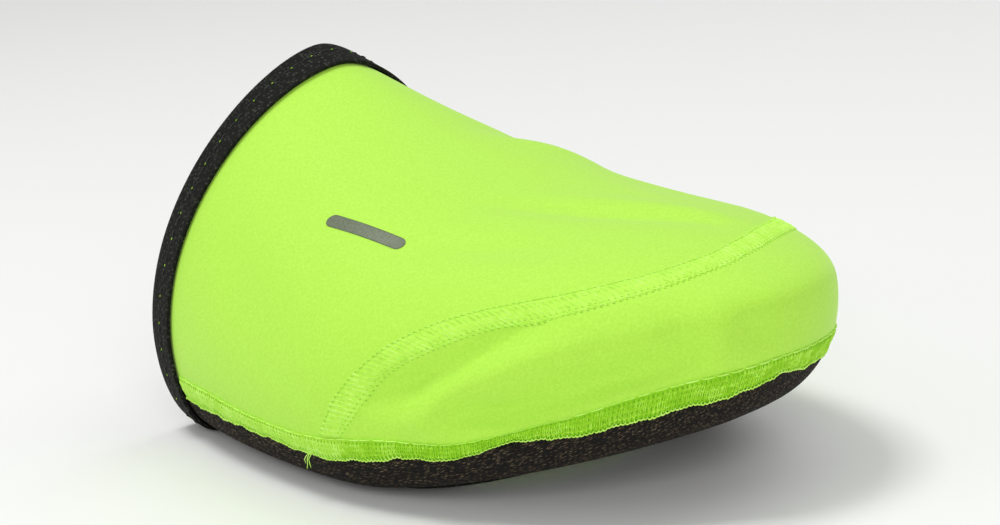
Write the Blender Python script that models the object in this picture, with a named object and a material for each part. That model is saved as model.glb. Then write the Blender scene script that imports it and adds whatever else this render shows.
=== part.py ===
"""Cycling toe cover for the right foot, standing empty on its sole.

A windproof softshell upper is joined to a knit sole pan by a flatlock seam. The collar edge and the
edge of the cleat opening are bound with folded tape, and a second flatlock seam runs round the toe.

Metres. X runs to the toe, Y to the inner side of the foot, Z up. The shell is worked out with its toe
tip at X = 0 and the sole's outer face at Z = 0, lifted by the toe spring, and then set down with the
middle of its footprint on the origin.
"""

import math

import bmesh
import bpy
from mathutils import Vector

# Driving sizes of the last that the cover is drawn over.
COVER_LENGTH = 0.140        # collar edge to toe tip
BALL_WIDTH = 0.1010         # widest breadth, at the ball of the foot
COLLAR_WIDTH = 0.0815       # breadth at the collar edge
TIP_OFFSET = 0.0036         # toe tip, off the middle towards the inner side
COLLAR_HEIGHT = 0.0795      # crest of the instep at the collar edge
COLLAR_LEAN = 0.0077        # how far the collar's top leans to the toe
WIDEST_HEIGHT = 0.0191      # height of the widest line at ball and toe
COLLAR_WIDEST_HEIGHT = 0.0212
CORNER_INSET = 0.0091       # from the widest line in to the flat of the sole, at the collar
TOE_CORNER_INSET = 0.0170   # and at the toe tip
CROWN_BACK = 0.0349         # front end of the crest, behind the tip
FAN_LENGTH = 0.055          # stretch of crest from which the toe's ribs fan out
SPRING_LIFT = 0.0178        # toe spring at the tip
SPRING_LENGTH = 0.072       # from the tip back to where the spring starts
SPRING_POWER = 1.4
BAND_HEIGHT = 0.0092        # sole's turned-up side
CREST_COLLAR_SHIFT = 0.0056  # crest line, towards the inner side, at the collar
CREST_TOE_SHIFT = 0.0076     # and at the crown of the toe

# Cloth, tape and seam.
UPPER_WALL = 0.0016
SOLE_WALL = 0.0018
CLEARANCE = 0.0003          # between pieces that touch
TAPE_THICKNESS = 0.0009
COLLAR_TAPE_LEG = 0.0085
OPENING_TAPE_LEG = 0.0060
SEAM_THICKNESS = 0.0007
TOE_SEAM_WIDTH = 0.0060
NEEDLE_ROW_INSET = 0.0006   # upper row of stitches, in from the toe seam's upper edge
SOLE_SEAM_ABOVE = 0.0060    # above the sole's edge
SOLE_SEAM_BELOW = 0.0010    # lapped down over the sole's edge

# Cleat opening in the sole.
OPENING_FRONT = 0.0470      # its front end, behind the toe tip
OPENING_WIDTH = 0.058
HEEL_STRAP = 0.0040         # sole left bare between its tape and the collar's
OPENING_FULLNESS = 2.6

# Half outlines: where the ball lies as a share of the cover's length, half breadths as shares of the
# ball and collar widths, and how full the toe's curve is.
SIDES = {
    "lateral": {"sign": -1, "ball": 0.567, "ball_half": 0.489, "collar_half": 0.498, "fullness": 1.72},
    "medial": {"sign": 1, "ball": 0.511, "ball_half": 0.511, "collar_half": 0.502, "fullness": 2.43},
}

# Crest of the instep and toe: share of the way from the collar to the crown, share of the collar height.
CREST = ((-0.10, 1.065), (0.0, 1.0), (0.33, 0.798), (0.67, 0.675), (1.0, 0.545), (1.35, 0.365))

# Collar edge seen from the side: share of the collar height, share of the lean.
LEAN = ((0.0, 0.34), (0.4, 0.17), (1.0, 1.0))

# Upper row of stitches of the toe seam: share of the outline from the lateral collar edge round to the
# medial one, share of the rib.
TOE_SEAM = ((0.190, 0.12), (0.205, 0.27), (0.23, 0.365), (0.26, 0.455), (0.30, 0.53), (0.36, 0.60),
            (0.41, 0.68), (0.47, 0.775), (0.52, 0.81), (0.56, 0.80), (0.60, 0.75), (0.655, 0.62),
            (0.70, 0.515), (0.74, 0.44), (0.77, 0.365), (0.79, 0.27), (0.805, 0.12))

# Resolution.
REAR_COLUMNS = 8
FRONT_COLUMNS = 22
BAND_ROWS = 4
FLANK_ROWS = 3
CROWN_ROWS = 12
SOLE_FLAT_ROWS = 3
REAR_EDGE_POINTS = 8
OPENING_POINTS = 48
OUTLINE_POINTS = 240
SEAM_COLUMNS = 72
SEAM_ROWS = 4
SEAM_SAMPLES = 300

WIDE_T = 0.30               # share of a rib at its widest point
REAR_SHARE = 0.31           # share of a side's stations that lie behind the fan
CORNER_POWER = 2 / 2.2
FADE_SHARE = 0.62           # share of the cover over which the collar's lean dies out
FADE_POWER = 1.5
WIDEST_DROP_SHARE = 0.45    # share of the cover over which the widest line comes down from the collar
WIDEST_DROP_POWER = 0.8
RIB_FILL_SHARE = 0.8        # share of the cover over which the ribs fill out towards the toe
COLLAR_RIB_FULLNESS = 1.65
TOE_RIB_FULLNESS = 2.85
CREST_SHARES = (-0.2, 1.3)  # the crest line runs straight between these shares of its length
STEP = 0.0005               # for slopes by difference
SHARE_STEP = 0.003          # the same, in shares of the outline and of a rib
ANGLE_STEP = 0.02           # the same, round the cleat opening


def blend(start, end, share):
    return start + (end - start) * share


def clamp(value):
    return min(1.0, max(0.0, value))


def smooth_table(rows, at):
    """Smooth curve through the rows of a two-column table, without overshoot."""
    last = len(rows) - 1
    widths = [rows[k + 1][0] - rows[k][0] for k in range(last)]
    slopes = [(rows[k + 1][1] - rows[k][1]) / widths[k] for k in range(last)]
    tangents = [slopes[0]]
    for k in range(1, last):
        before, after = slopes[k - 1], slopes[k]
        flat = before * after <= 0
        tangents.append(0.0 if flat else 2 * before * after / (before + after))
    tangents.append(slopes[-1])
    if at <= rows[0][0]:
        return rows[0][1] + tangents[0] * (at - rows[0][0])
    if at >= rows[-1][0]:
        return rows[-1][1] + tangents[-1] * (at - rows[-1][0])
    k = max(j for j in range(last) if rows[j][0] <= at)
    f = (at - rows[k][0]) / widths[k]
    value = rows[k][1] * (1 + 2 * f) * (1 - f) ** 2 + rows[k + 1][1] * f * f * (3 - 2 * f)
    return value + widths[k] * (tangents[k] * f * (1 - f) ** 2 - tangents[k + 1] * f * f * (1 - f))


def half_breadth(side, x):
    """Half breadth of the widest line behind the ball."""
    row = SIDES[side]
    ball_x = -row["ball"] * COVER_LENGTH
    back = (ball_x - x) / (COVER_LENGTH + ball_x)
    ball = row["ball_half"] * BALL_WIDTH
    return ball - (ball - row["collar_half"] * COLLAR_WIDTH) * back * back


def front_outline(side):
    """Points of the widest line from the start of the fan to the tip, with their distance along it."""
    row = SIDES[side]
    ball_x = -row["ball"] * COVER_LENGTH
    start_x = -(CROWN_BACK + FAN_LENGTH)
    ball_y = row["sign"] * row["ball_half"] * BALL_WIDTH
    power = 2 / row["fullness"]
    points = []
    for k in range(OUTLINE_POINTS // 4):
        x = blend(start_x, ball_x, k / (OUTLINE_POINTS // 4))
        points.append(Vector((x, row["sign"] * half_breadth(side, x))))
    for k in range(OUTLINE_POINTS + 1):
        angle = 0.5 * math.pi * k / OUTLINE_POINTS
        x = ball_x * (1 - math.sin(angle) ** power)
        y = blend(TIP_OFFSET, ball_y, abs(math.cos(angle)) ** power)
        points.append(Vector((x, y)))
    points[-1] = Vector((0.0, TIP_OFFSET))
    along = [0.0]
    for before, after in zip(points, points[1:]):
        along.append(along[-1] + (after - before).length)
    return points, along


FRONT_OUTLINES = {side: front_outline(side) for side in SIDES}
FAN_ARC = sum(along[-1] for points, along in FRONT_OUTLINES.values()) / len(SIDES)


def widest_xy(side, s):
    """Plan of the widest line at station s, from the collar edge (0) to the tip (1)."""
    if s <= REAR_SHARE:
        x = blend(-COVER_LENGTH, -(CROWN_BACK + FAN_LENGTH), s / REAR_SHARE)
        return Vector((x, SIDES[side]["sign"] * half_breadth(side, x)))
    points, along = FRONT_OUTLINES[side]
    distance = along[-1] * min(1.0, (s - REAR_SHARE) / (1 - REAR_SHARE))
    k = 1
    while along[k] < distance and k < len(along) - 1:
        k += 1
    share = (distance - along[k - 1]) / (along[k] - along[k - 1])
    return points[k - 1].lerp(points[k], share)


def inward(side, s):
    """Unit vector in plan from the widest line towards the middle of the foot."""
    if s >= 1.0:
        return Vector((-1.0, 0.0))
    ahead = widest_xy(side, min(1.0, s + SHARE_STEP))
    behind = widest_xy(side, s - SHARE_STEP)
    along = (ahead - behind).normalized()
    return Vector((-along.y, along.x)) * -SIDES[side]["sign"]


def crest_x(s):
    """Where the rib of station s meets the crest: straight across at the rear, fanned round the toe."""
    if s <= REAR_SHARE:
        return blend(-COVER_LENGTH, -(CROWN_BACK + FAN_LENGTH), s / REAR_SHARE)
    v = min(1.0, (s - REAR_SHARE) / (1 - REAR_SHARE))
    start = -(CROWN_BACK + FAN_LENGTH)
    ease = v * v * (3 - 2 * v)
    return blend(start, -CROWN_BACK, ease) + FAN_ARC * v * (1 - v) ** 2


def crest_share(x):
    return (x + COVER_LENGTH) / (COVER_LENGTH - CROWN_BACK)


def crest_y(x):
    first, last = CREST_SHARES
    return blend(CREST_COLLAR_SHIFT, CREST_TOE_SHIFT, min(last, max(first, crest_share(x))))


def crest_height(x):
    return COLLAR_HEIGHT * smooth_table(CREST, crest_share(x))


def station_share(x):
    return clamp((x + COVER_LENGTH) / COVER_LENGTH)


def widest_height(side, s):
    share = station_share(widest_xy(side, s).x)
    drop = clamp(share / WIDEST_DROP_SHARE) ** WIDEST_DROP_POWER
    return blend(COLLAR_WIDEST_HEIGHT, WIDEST_HEIGHT, drop)


def spring(x):
    """Lift of the sole towards the tip."""
    return SPRING_LIFT * max(0.0, 1 + x / SPRING_LENGTH) ** SPRING_POWER


def placed(x, y, height, widest):
    """Point of the shell after the collar's lean and the toe spring."""
    fade = clamp(1 - (x + COVER_LENGTH) / (FADE_SHARE * COVER_LENGTH)) ** FADE_POWER
    leant = x + COLLAR_LEAN * smooth_table(LEAN, height / COLLAR_HEIGHT) * fade
    share = clamp((height - widest) / (COLLAR_HEIGHT - widest))
    lowered = (crest_height(leant) - crest_height(x)) * share
    return Vector((leant, y, height + lowered + spring(leant)))


def shell_point(side, s, t):
    """Outer face at station s; t runs up a rib from the flat of the sole (0) to the crest (1)."""
    wide = widest_xy(side, s)
    widest = widest_height(side, s)
    if t < WIDE_T:
        angle = 0.5 * math.pi * (1 - t / WIDE_T)
        reach = blend(CORNER_INSET, TOE_CORNER_INSET, station_share(wide.x) ** 2)
        inset = reach * (1 - abs(math.cos(angle)) ** CORNER_POWER)
        plan = wide + inward(side, s) * inset
        height = widest * (1 - math.sin(angle) ** CORNER_POWER)
        return placed(plan.x, plan.y, height, widest)
    angle = 0.5 * math.pi * (t - WIDE_T) / (1 - WIDE_T)
    filled = clamp(station_share(wide.x) / RIB_FILL_SHARE)
    power = 2 / blend(COLLAR_RIB_FULLNESS, TOE_RIB_FULLNESS, filled)
    foot = Vector((crest_x(s), crest_y(crest_x(s))))
    plan = foot.lerp(wide, abs(math.cos(angle)) ** power)
    height = blend(widest, crest_height(plan.x), math.sin(angle) ** power)
    return placed(plan.x, plan.y, height, widest)


def rib_share(side, s, height):
    """Share t of a rib at a height above the sole, below the widest line."""
    level = (1 - height / widest_height(side, s)) ** (1 / CORNER_POWER)
    return WIDE_T * (1 - math.asin(level) / (0.5 * math.pi))


def stations():
    rear = [REAR_SHARE * k / REAR_COLUMNS for k in range(REAR_COLUMNS)]
    front = [blend(REAR_SHARE, 1.0, k / FRONT_COLUMNS) for k in range(FRONT_COLUMNS + 1)]
    return rear + front


def spaced(start, end, count):
    return [blend(start, end, k / count) for k in range(count + 1)]


def upper_rows(side, s):
    """Shares t of the rows of the upper, from its edge over the sole up to the crest."""
    edge = rib_share(side, s, BAND_HEIGHT + CLEARANCE)
    return spaced(edge, WIDE_T, FLANK_ROWS)[:-1] + spaced(WIDE_T, 1.0, CROWN_ROWS)


def band_rows(side, s):
    """Shares t of the rows of the sole's turned-up side."""
    return spaced(0.0, rib_share(side, s, BAND_HEIGHT - CLEARANCE), BAND_ROWS)


def collar_station(inset):
    """Station at a distance in from the collar edge."""
    return REAR_SHARE * inset / (COVER_LENGTH - CROWN_BACK - FAN_LENGTH)


def opening_rear():
    """Rear end of the cleat opening: a strap of sole is left between its tape and the collar's."""
    s = collar_station(COLLAR_TAPE_LEG)
    return max(shell_point(side, s, 0.0).x for side in SIDES) + HEEL_STRAP + OPENING_TAPE_LEG


OPENING_REAR = opening_rear()
OPENING_MIDDLE = blend(OPENING_REAR, -OPENING_FRONT, 0.5)
OPENING_HALF = -OPENING_FRONT - OPENING_MIDDLE


def opening_point(angle, outwards=0.0):
    """Edge of the cleat opening in plan, or a line at a distance outside it."""
    def edge(at):
        power = 2 / OPENING_FULLNESS
        x = math.copysign(abs(math.cos(at)) ** power, math.cos(at)) * OPENING_HALF
        y = math.copysign(abs(math.sin(at)) ** power, math.sin(at)) * OPENING_WIDTH / 2
        return Vector((x + OPENING_MIDDLE, y))
    along = (edge(angle + ANGLE_STEP) - edge(angle - ANGLE_STEP)).normalized()
    plan = edge(angle) + Vector((along.y, -along.x)) * outwards
    return Vector((plan.x, plan.y, spring(plan.x)))


def new_object(name, mesh, colour, roughness, closed=True):
    material = bpy.data.materials.new(name)
    material.use_nodes = True
    shader = material.node_tree.nodes["Principled BSDF"]
    shader.inputs["Base Color"].default_value = (*colour, 1.0)
    shader.inputs["Roughness"].default_value = roughness
    shader.inputs["Metallic"].default_value = 0.0
    bm = bmesh.new()
    bm.from_mesh(mesh)
    bmesh.ops.remove_doubles(bm, verts=bm.verts, dist=1e-6)
    if closed:
        bmesh.ops.recalc_face_normals(bm, faces=bm.faces)
    bm.to_mesh(mesh)
    bm.free()
    mesh.materials.append(material)
    mesh.shade_smooth()
    item = bpy.data.objects.new(name, mesh)
    bpy.context.collection.objects.link(item)
    return item


def grid_faces(columns, rows, closed_columns=False, closed_rows=False):
    """Quads of a grid whose vertices are stored column by column."""
    faces = []
    for i in range(columns if closed_columns else columns - 1):
        for j in range(rows if closed_rows else rows - 1):
            ahead = (i + 1) % columns
            above = (j + 1) % rows
            faces.append((i * rows + j, ahead * rows + j, ahead * rows + above, i * rows + above))
    return faces


def sheet(name, patches, wall, colour, roughness):
    """Cloth of one wall: patches are grids on the outer face, each with its order turned or not."""
    points, faces = [], []
    for grid, turned, closed in patches:
        start = len(points)
        for column in grid:
            points.extend(column)
        for face in grid_faces(len(grid), len(grid[0]), closed_columns=closed):
            face = tuple(start + k for k in face)
            faces.append(face[::-1] if turned else face)
    mesh = bpy.data.meshes.new(name)
    mesh.from_pydata(points, [], faces)
    item = new_object(name, mesh, colour, roughness, closed=False)
    thicken = item.modifiers.new("wall", "SOLIDIFY")
    thicken.thickness = wall
    thicken.offset = -1.0
    thicken.use_even_offset = False
    return item


def side_grid(side, row_shares):
    return [[shell_point(side, s, t) for t in row_shares(side, s)] for s in stations()]


def make_upper():
    patches = [(side_grid(side, upper_rows), side == "medial", False) for side in SIDES]
    return sheet("upper", patches, UPPER_WALL, (0.50, 0.83, 0.11), 0.8)


def sole_corner_loop():
    """Line where the flat of the sole turns up, then straight across under the collar."""
    lateral = [shell_point("lateral", s, 0.0) for s in stations()]
    medial = [shell_point("medial", s, 0.0) for s in stations()]
    rear = [medial[0].lerp(lateral[0], k / REAR_EDGE_POINTS) for k in range(1, REAR_EDGE_POINTS)]
    return lateral + medial[-2::-1] + rear


def make_sole():
    flat = []
    for corner in sole_corner_loop():
        reach = Vector((corner.x - OPENING_MIDDLE, corner.y))
        angle = opening_angle(reach)
        inner = opening_point(angle)
        column = []
        for k in range(SOLE_FLAT_ROWS + 1):
            point = inner.lerp(corner, k / SOLE_FLAT_ROWS)
            point.z = spring(point.x)
            column.append(point)
        flat.append(column)
    patches = [(side_grid(side, band_rows), side == "medial", False) for side in SIDES]
    patches.append((flat, False, True))
    return sheet("sole", patches, SOLE_WALL, (0.025, 0.018, 0.012), 0.9)


def opening_angle(reach):
    """Parameter of the point of the opening's edge that lies in a given direction."""
    power = OPENING_FULLNESS / 2
    across = math.copysign(abs(2 * reach.y / OPENING_WIDTH) ** power, reach.y)
    ahead = math.copysign(abs(reach.x / OPENING_HALF) ** power, reach.x)
    return math.atan2(across, ahead)


def tape_section(leg, wall):
    """Folded tape: distance in from the cloth's edge and height over its outer face."""
    outside = CLEARANCE + TAPE_THICKNESS
    middle = -wall / 2
    half = wall / 2 + outside
    section = [(leg, outside), (leg / 2, outside)]
    for degrees in (90, 55, 20, -20, -55, -90):
        angle = math.radians(degrees)
        section.append((-outside * math.cos(angle), middle + half * math.sin(angle)))
    section += [(leg / 2, -wall - outside), (leg, -wall - outside)]
    section += [(leg, -wall - CLEARANCE), (leg / 2, -wall - CLEARANCE), (-CLEARANCE, -wall - CLEARANCE)]
    section += [(-CLEARANCE, CLEARANCE), (leg / 2, CLEARANCE), (leg, CLEARANCE)]
    return section


def make_binding(name, face_loop, leg):
    """Folded tape round an edge; face_loop gives the loop of outer-face points at a distance in."""
    grid = []
    for inset, height in tape_section(leg, SOLE_WALL):
        loop = face_loop(inset)
        inner = face_loop(inset + STEP)
        column = []
        for k, point in enumerate(loop):
            across = inner[k] - point
            along = loop[(k + 1) % len(loop)] - loop[k - 1]
            normal = across.cross(along).normalized()
            column.append(point + normal * height)
        grid.append(column)
    points = [point for column in grid for point in column]
    faces = grid_faces(len(grid), len(grid[0]), closed_columns=True, closed_rows=True)
    mesh = bpy.data.meshes.new(name)
    mesh.from_pydata(points, [], faces)
    return new_object(name, mesh, (0.012, 0.012, 0.012), 0.7)


def collar_loop(inset):
    """Closed loop on the outer face, parallel to the collar edge."""
    s = collar_station(inset)
    loop = []
    for side in SIDES:
        shares = band_rows(side, 0.0)[:-1] + [rib_share(side, 0.0, BAND_HEIGHT)] + upper_rows(side, 0.0)[1:]
        half = [shell_point(side, s, t) for t in shares]
        loop += half if side == "lateral" else half[-2::-1]
    last, first = loop[-1], loop[0]
    loop += [last.lerp(first, k / REAR_EDGE_POINTS) for k in range(1, REAR_EDGE_POINTS)]
    return loop


def opening_loop(outwards):
    """Closed loop on the sole's outer face, round the cleat opening."""
    angles = [-2 * math.pi * k / OPENING_POINTS for k in range(OPENING_POINTS)]
    return [opening_point(angle, outwards) for angle in angles]


def outline_place(around):
    """Side and station of a share of the whole outline."""
    if around <= 0.5:
        return "lateral", 2 * around
    return "medial", 2 * (1 - around)


def face_point(around, t):
    side, s = outline_place(around)
    return shell_point(side, s, t)


def face_slopes(around, t):
    """Change of the outer face's place per unit of each parameter, and its outward normal."""
    step = 2 * SHARE_STEP
    along = (face_point(around + SHARE_STEP, t) - face_point(around - SHARE_STEP, t)) / step
    up = (face_point(around, t + SHARE_STEP) - face_point(around, t - SHARE_STEP)) / step
    return along, up, along.cross(up).normalized()


def stepped(around, t, distance, direction):
    """Parameters of the point of the face at a distance in a tangent direction."""
    along, up, normal = face_slopes(around, t)
    aa, au, uu = along.dot(along), along.dot(up), up.dot(up)
    da, du = direction.dot(along) * distance, direction.dot(up) * distance
    scale = aa * uu - au * au
    return around + (da * uu - du * au) / scale, t + (du * aa - da * au) / scale


def strip(name, rows, colour):
    """Raised seam: rows of parameters across its width, laid over the shell as a closed band."""
    outer, inner = [], []
    for row in rows:
        frames = [(face_point(*place), face_slopes(*place)[2]) for place in row]
        inner.append([point + normal * CLEARANCE for point, normal in frames])
        outer.append([point + normal * (CLEARANCE + SEAM_THICKNESS) for point, normal in frames])
    columns = len(rows[0])
    ring = outer + inner[::-1]
    points = [loop[k] for k in range(columns) for loop in ring]
    faces = grid_faces(columns, len(ring), closed_rows=True)
    last = (columns - 1) * len(ring)
    for k in range(len(rows) - 1):
        far = len(ring) - 1 - k
        faces.append((k, k + 1, far - 1, far))
        faces.append((last + far, last + far - 1, last + k + 1, last + k))
    mesh = bpy.data.meshes.new(name)
    mesh.from_pydata(points, [], faces)
    return new_object(name, mesh, colour, 0.75)


def collar_end():
    """Share of the outline at which a seam meets the collar tape."""
    return 0.5 * collar_station(COLLAR_TAPE_LEG + CLEARANCE)


def make_sole_seam():
    rows = []
    for k in range(SEAM_ROWS):
        height = BAND_HEIGHT + blend(-SOLE_SEAM_BELOW, SOLE_SEAM_ABOVE, k / (SEAM_ROWS - 1))
        row = []
        for around in spaced(collar_end(), 1 - collar_end(), SEAM_COLUMNS):
            side, s = outline_place(around)
            row.append((around, rib_share(side, s, height)))
        rows.append(row)
    return strip("sole_seam", rows, (0.42, 0.72, 0.09))


def seam_edge(around):
    """Share of the rib just above the sole seam."""
    side, s = outline_place(around)
    return rib_share(side, s, BAND_HEIGHT + SOLE_SEAM_ABOVE + CLEARANCE)


def trimmed(row):
    """Part of a line of parameters above the sole seam, with evenly spaced points."""
    kept = []
    for before, after in zip(row, row[1:]):
        low = before[1] - seam_edge(before[0])
        high = after[1] - seam_edge(after[0])
        if low * high < 0:
            share = low / (low - high)
            kept.append((blend(before[0], after[0], share), blend(before[1], after[1], share)))
        if high > 0:
            kept.append(after)
    points = [face_point(*place) for place in kept]
    along = [0.0]
    for before, after in zip(points, points[1:]):
        along.append(along[-1] + (after - before).length)
    even = []
    k = 1
    for distance in spaced(0.0, along[-1], SEAM_COLUMNS):
        while along[k] < distance and k < len(along) - 1:
            k += 1
        share = (distance - along[k - 1]) / (along[k] - along[k - 1])
        even.append(tuple(blend(a, b, share) for a, b in zip(kept[k - 1], kept[k])))
    return even


def make_toe_seam():
    shares = spaced(TOE_SEAM[0][0], TOE_SEAM[-1][0], SEAM_SAMPLES)
    line = [(around, smooth_table(TOE_SEAM, around)) for around in shares]
    rows = []
    for k in range(SEAM_ROWS):
        distance = NEEDLE_ROW_INSET + TOE_SEAM_WIDTH * (k / (SEAM_ROWS - 1) - 1)
        row = []
        for before, place, after in zip(line, line[1:], line[2:]):
            along = (face_point(*after) - face_point(*before)).normalized()
            normal = face_slopes(*place)[2]
            row.append(stepped(*place, distance, normal.cross(along)))
        rows.append(trimmed(row))
    return strip("toe_seam", rows, (0.42, 0.72, 0.09))


def stand_on_origin(items):
    """Carry every piece on one empty, with the middle of the footprint at the origin."""
    bpy.context.view_layer.update()
    graph = bpy.context.evaluated_depsgraph_get()
    corners = []
    for item in items:
        corners += [Vector(corner) for corner in item.evaluated_get(graph).bound_box]
    low = Vector([min(c[k] for c in corners) for k in range(3)])
    high = Vector([max(c[k] for c in corners) for k in range(3)])
    carrier = bpy.data.objects.new("toe_cover", None)
    bpy.context.collection.objects.link(carrier)
    carrier.location = (-(low.x + high.x) / 2, -(low.y + high.y) / 2, -low.z)
    for item in items:
        item.parent = carrier


def main():
    for item in list(bpy.data.objects):
        bpy.data.objects.remove(item, do_unlink=True)
    items = [make_upper(), make_sole()]
    items.append(make_binding("collar_binding", collar_loop, COLLAR_TAPE_LEG))
    items.append(make_binding("cleat_opening_binding", opening_loop, OPENING_TAPE_LEG))
    items.append(make_toe_seam())
    items.append(make_sole_seam())
    stand_on_origin(items)


main()
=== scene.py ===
import math

import bmesh
import bpy
import numpy as np
from mathutils import Euler, Matrix, Vector
from mathutils.bvhtree import BVHTree


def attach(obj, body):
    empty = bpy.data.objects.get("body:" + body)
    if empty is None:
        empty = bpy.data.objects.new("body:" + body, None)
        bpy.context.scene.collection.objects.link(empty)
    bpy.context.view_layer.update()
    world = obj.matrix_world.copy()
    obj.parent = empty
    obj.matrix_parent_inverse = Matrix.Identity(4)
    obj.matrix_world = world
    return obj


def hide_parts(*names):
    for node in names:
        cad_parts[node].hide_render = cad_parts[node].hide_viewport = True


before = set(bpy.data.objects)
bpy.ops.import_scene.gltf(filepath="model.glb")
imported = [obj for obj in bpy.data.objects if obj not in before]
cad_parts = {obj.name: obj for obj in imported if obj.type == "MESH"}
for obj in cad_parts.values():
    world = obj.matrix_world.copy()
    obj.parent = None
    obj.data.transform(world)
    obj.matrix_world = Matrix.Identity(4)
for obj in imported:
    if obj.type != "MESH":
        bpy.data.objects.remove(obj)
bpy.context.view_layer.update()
MM = 0.001


# The upper: two panels of windproof softshell, a smooth face knit in hi-vis yellow-green bonded to a
# thin membrane and a brushed fleece back. The panels are cut flat and pulled over the last by the seams,
# which leaves soft hollows and folds round the toe and low on the side.
UPPER_WALL = 1.5 * MM


def outer_face(node, name):
    """Outer face of a sewn piece, on its own, in quads."""
    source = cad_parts[node].data.copy()
    item = bpy.data.objects.new(name, source)
    bpy.context.collection.objects.link(item)
    take(item)
    bpy.ops.object.mode_set(mode="EDIT")
    bpy.ops.mesh.select_all(action="SELECT")
    bpy.ops.mesh.remove_doubles(threshold=0.002 * MM)
    bpy.ops.mesh.select_all(action="DESELECT")
    bpy.ops.object.mode_set(mode="OBJECT")
    seed = min(source.polygons, key=lambda face: face.center.y)
    seed.select = True
    bpy.ops.object.mode_set(mode="EDIT")
    bpy.ops.mesh.faces_select_linked_flat(sharpness=math.radians(50))
    bpy.ops.mesh.select_all(action="INVERT")
    bpy.ops.mesh.delete(type="FACE")
    bpy.ops.mesh.select_all(action="SELECT")
    bpy.ops.mesh.tris_convert_to_quads(face_threshold=math.radians(50), shape_threshold=math.radians(60))
    bpy.ops.object.mode_set(mode="OBJECT")
    return item


def take(item):
    bpy.ops.object.select_all(action="DESELECT")
    item.select_set(True)
    bpy.context.view_layer.objects.active = item


def finished(item, kind, **settings):
    """Put a modifier on a piece and apply it."""
    take(item)
    step = item.modifiers.new(kind.lower(), kind)
    for key, value in settings.items():
        setattr(step, key, value)
    bpy.ops.object.modifier_apply(modifier=step.name)


# Hollows (below nought) and folds of the cloth: height, half width, and a line on the foot, in mm.
FOLDS = (
    (-3.2, 3.6, ((10, -47.7, 24.5), (16, -45.6, 27), (24.5, -42.5, 30), (29.5, -39.8, 33.5), (34, -36.8, 37),
                 (39, -33, 40))),
    (2.2, 3.4, ((18.5, -45.2, 14), (19.6, -45.6, 19.6), (23, -43, 27), (30, -39.5, 31), (38, -34.5, 34),
                (46, -29, 36))),
    (-3.4, 4.6, ((25, -43.5, 21), (30, -41.2, 21.9), (35, -38.6, 21.5), (39, -36, 22), (46, -31, 24))),
    (-3.0, 4.6, ((42, -33, 28), (49, -28, 29), (56, -22, 31), (62, -15, 33))),
    (0.9, 4.0, ((40, -35, 15), (48, -29.5, 17), (55, -23.5, 21), (60, -18, 25))),
    (-1.1, 3.4, ((59, -18, 41), (62, -15, 35), (62.5, -14, 29))),
    (0.9, 3.8, ((62, -14, 24), (64, -11.5, 30), (65.5, -9.5, 36), (64, -8, 42))),
    (-0.9, 3.6, ((66, -7, 40), (68, -3, 37), (69, 3, 35))),
    (-1.2, 3.2, ((4, -9, 53.6), (13, -4, 53), (23, 1, 52.4), (34, 8, 51.5), (43, 13, 50))),
    (0.9, 4.2, ((12, 4, 53.6), (24, 9, 52), (36, 15, 51), (46, 19, 49))),
    (-0.8, 6.0, ((-30, 14, 61), (-26, 21, 59), (-24, 27, 56.7), (-22, 33, 53))),
    (1.1, 5.0, ((-20, 20, 57.8), (-16, 26, 55.8), (-12, 31, 53.3), (-9, 36, 49.3))),
    (-1.0, 6.5, ((8, 27, 51.6), (20, 29, 50.4), (33, 29, 49.5))),
    (-0.8, 5.0, ((-4, -33, 49), (8, -27, 50), (22, -20, 49), (36, -14, 47))),
    (-1.3, 4.5, ((20, 45, 22), (31, 43, 23), (42, 38, 25))),
    (1.0, 4.5, ((10, 47, 27), (24, 45, 30), (38, 40, 33))),
    (-1.3, 5.5, ((-52, 36, 38), (-38, 42, 33), (-22, 47, 28))),
    (0.9, 5.5, ((-55, 33, 48), (-40, 39, 42), (-24, 44, 36))),
    (-0.9, 7.0, ((-50, -36, 44), (-36, -42, 38), (-20, -47, 32))),
    (0.6, 6.0, ((-40, -20, 62), (-26, -24, 56), (-8, -26, 52))),
)


def fold_height(points):
    """How far the folds lift the cloth at each of many points, in metres."""
    lift = np.zeros(len(points))
    for height, width, line in FOLDS:
        line = np.array(line, float) * MM
        lengths = np.linalg.norm(np.diff(line, axis=0), axis=1)
        starts = np.concatenate([[0], np.cumsum(lengths)])
        nearest = np.full(len(points), 1e9)
        reach = np.zeros(len(points))
        for k, length in enumerate(lengths):
            way = (line[k + 1] - line[k]) / length
            along = np.clip((points - line[k]) @ way, 0, length)
            away = np.linalg.norm(points - line[k] - along[:, None] * way, axis=1)
            closer = away < nearest
            nearest = np.where(closer, away, nearest)
            reach = np.where(closer, (starts[k] + along) / starts[-1], reach)
        ends = np.sin(np.pi * (0.12 + 0.76 * reach)) ** 1.0
        lift += height * MM * ends * np.exp(-(nearest / (width * MM)) ** 2)
    return lift


def points_of(item):
    flat = np.empty(len(item.data.vertices) * 3)
    item.data.vertices.foreach_get("co", flat)
    return flat.reshape(-1, 3)


def normals_of(item):
    flat = np.empty(len(item.data.vertices) * 3)
    item.data.vertices.foreach_get("normal", flat)
    return flat.reshape(-1, 3)


def set_points(item, points):
    item.data.vertices.foreach_set("co", np.ascontiguousarray(points).ravel())
    item.data.update()


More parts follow.
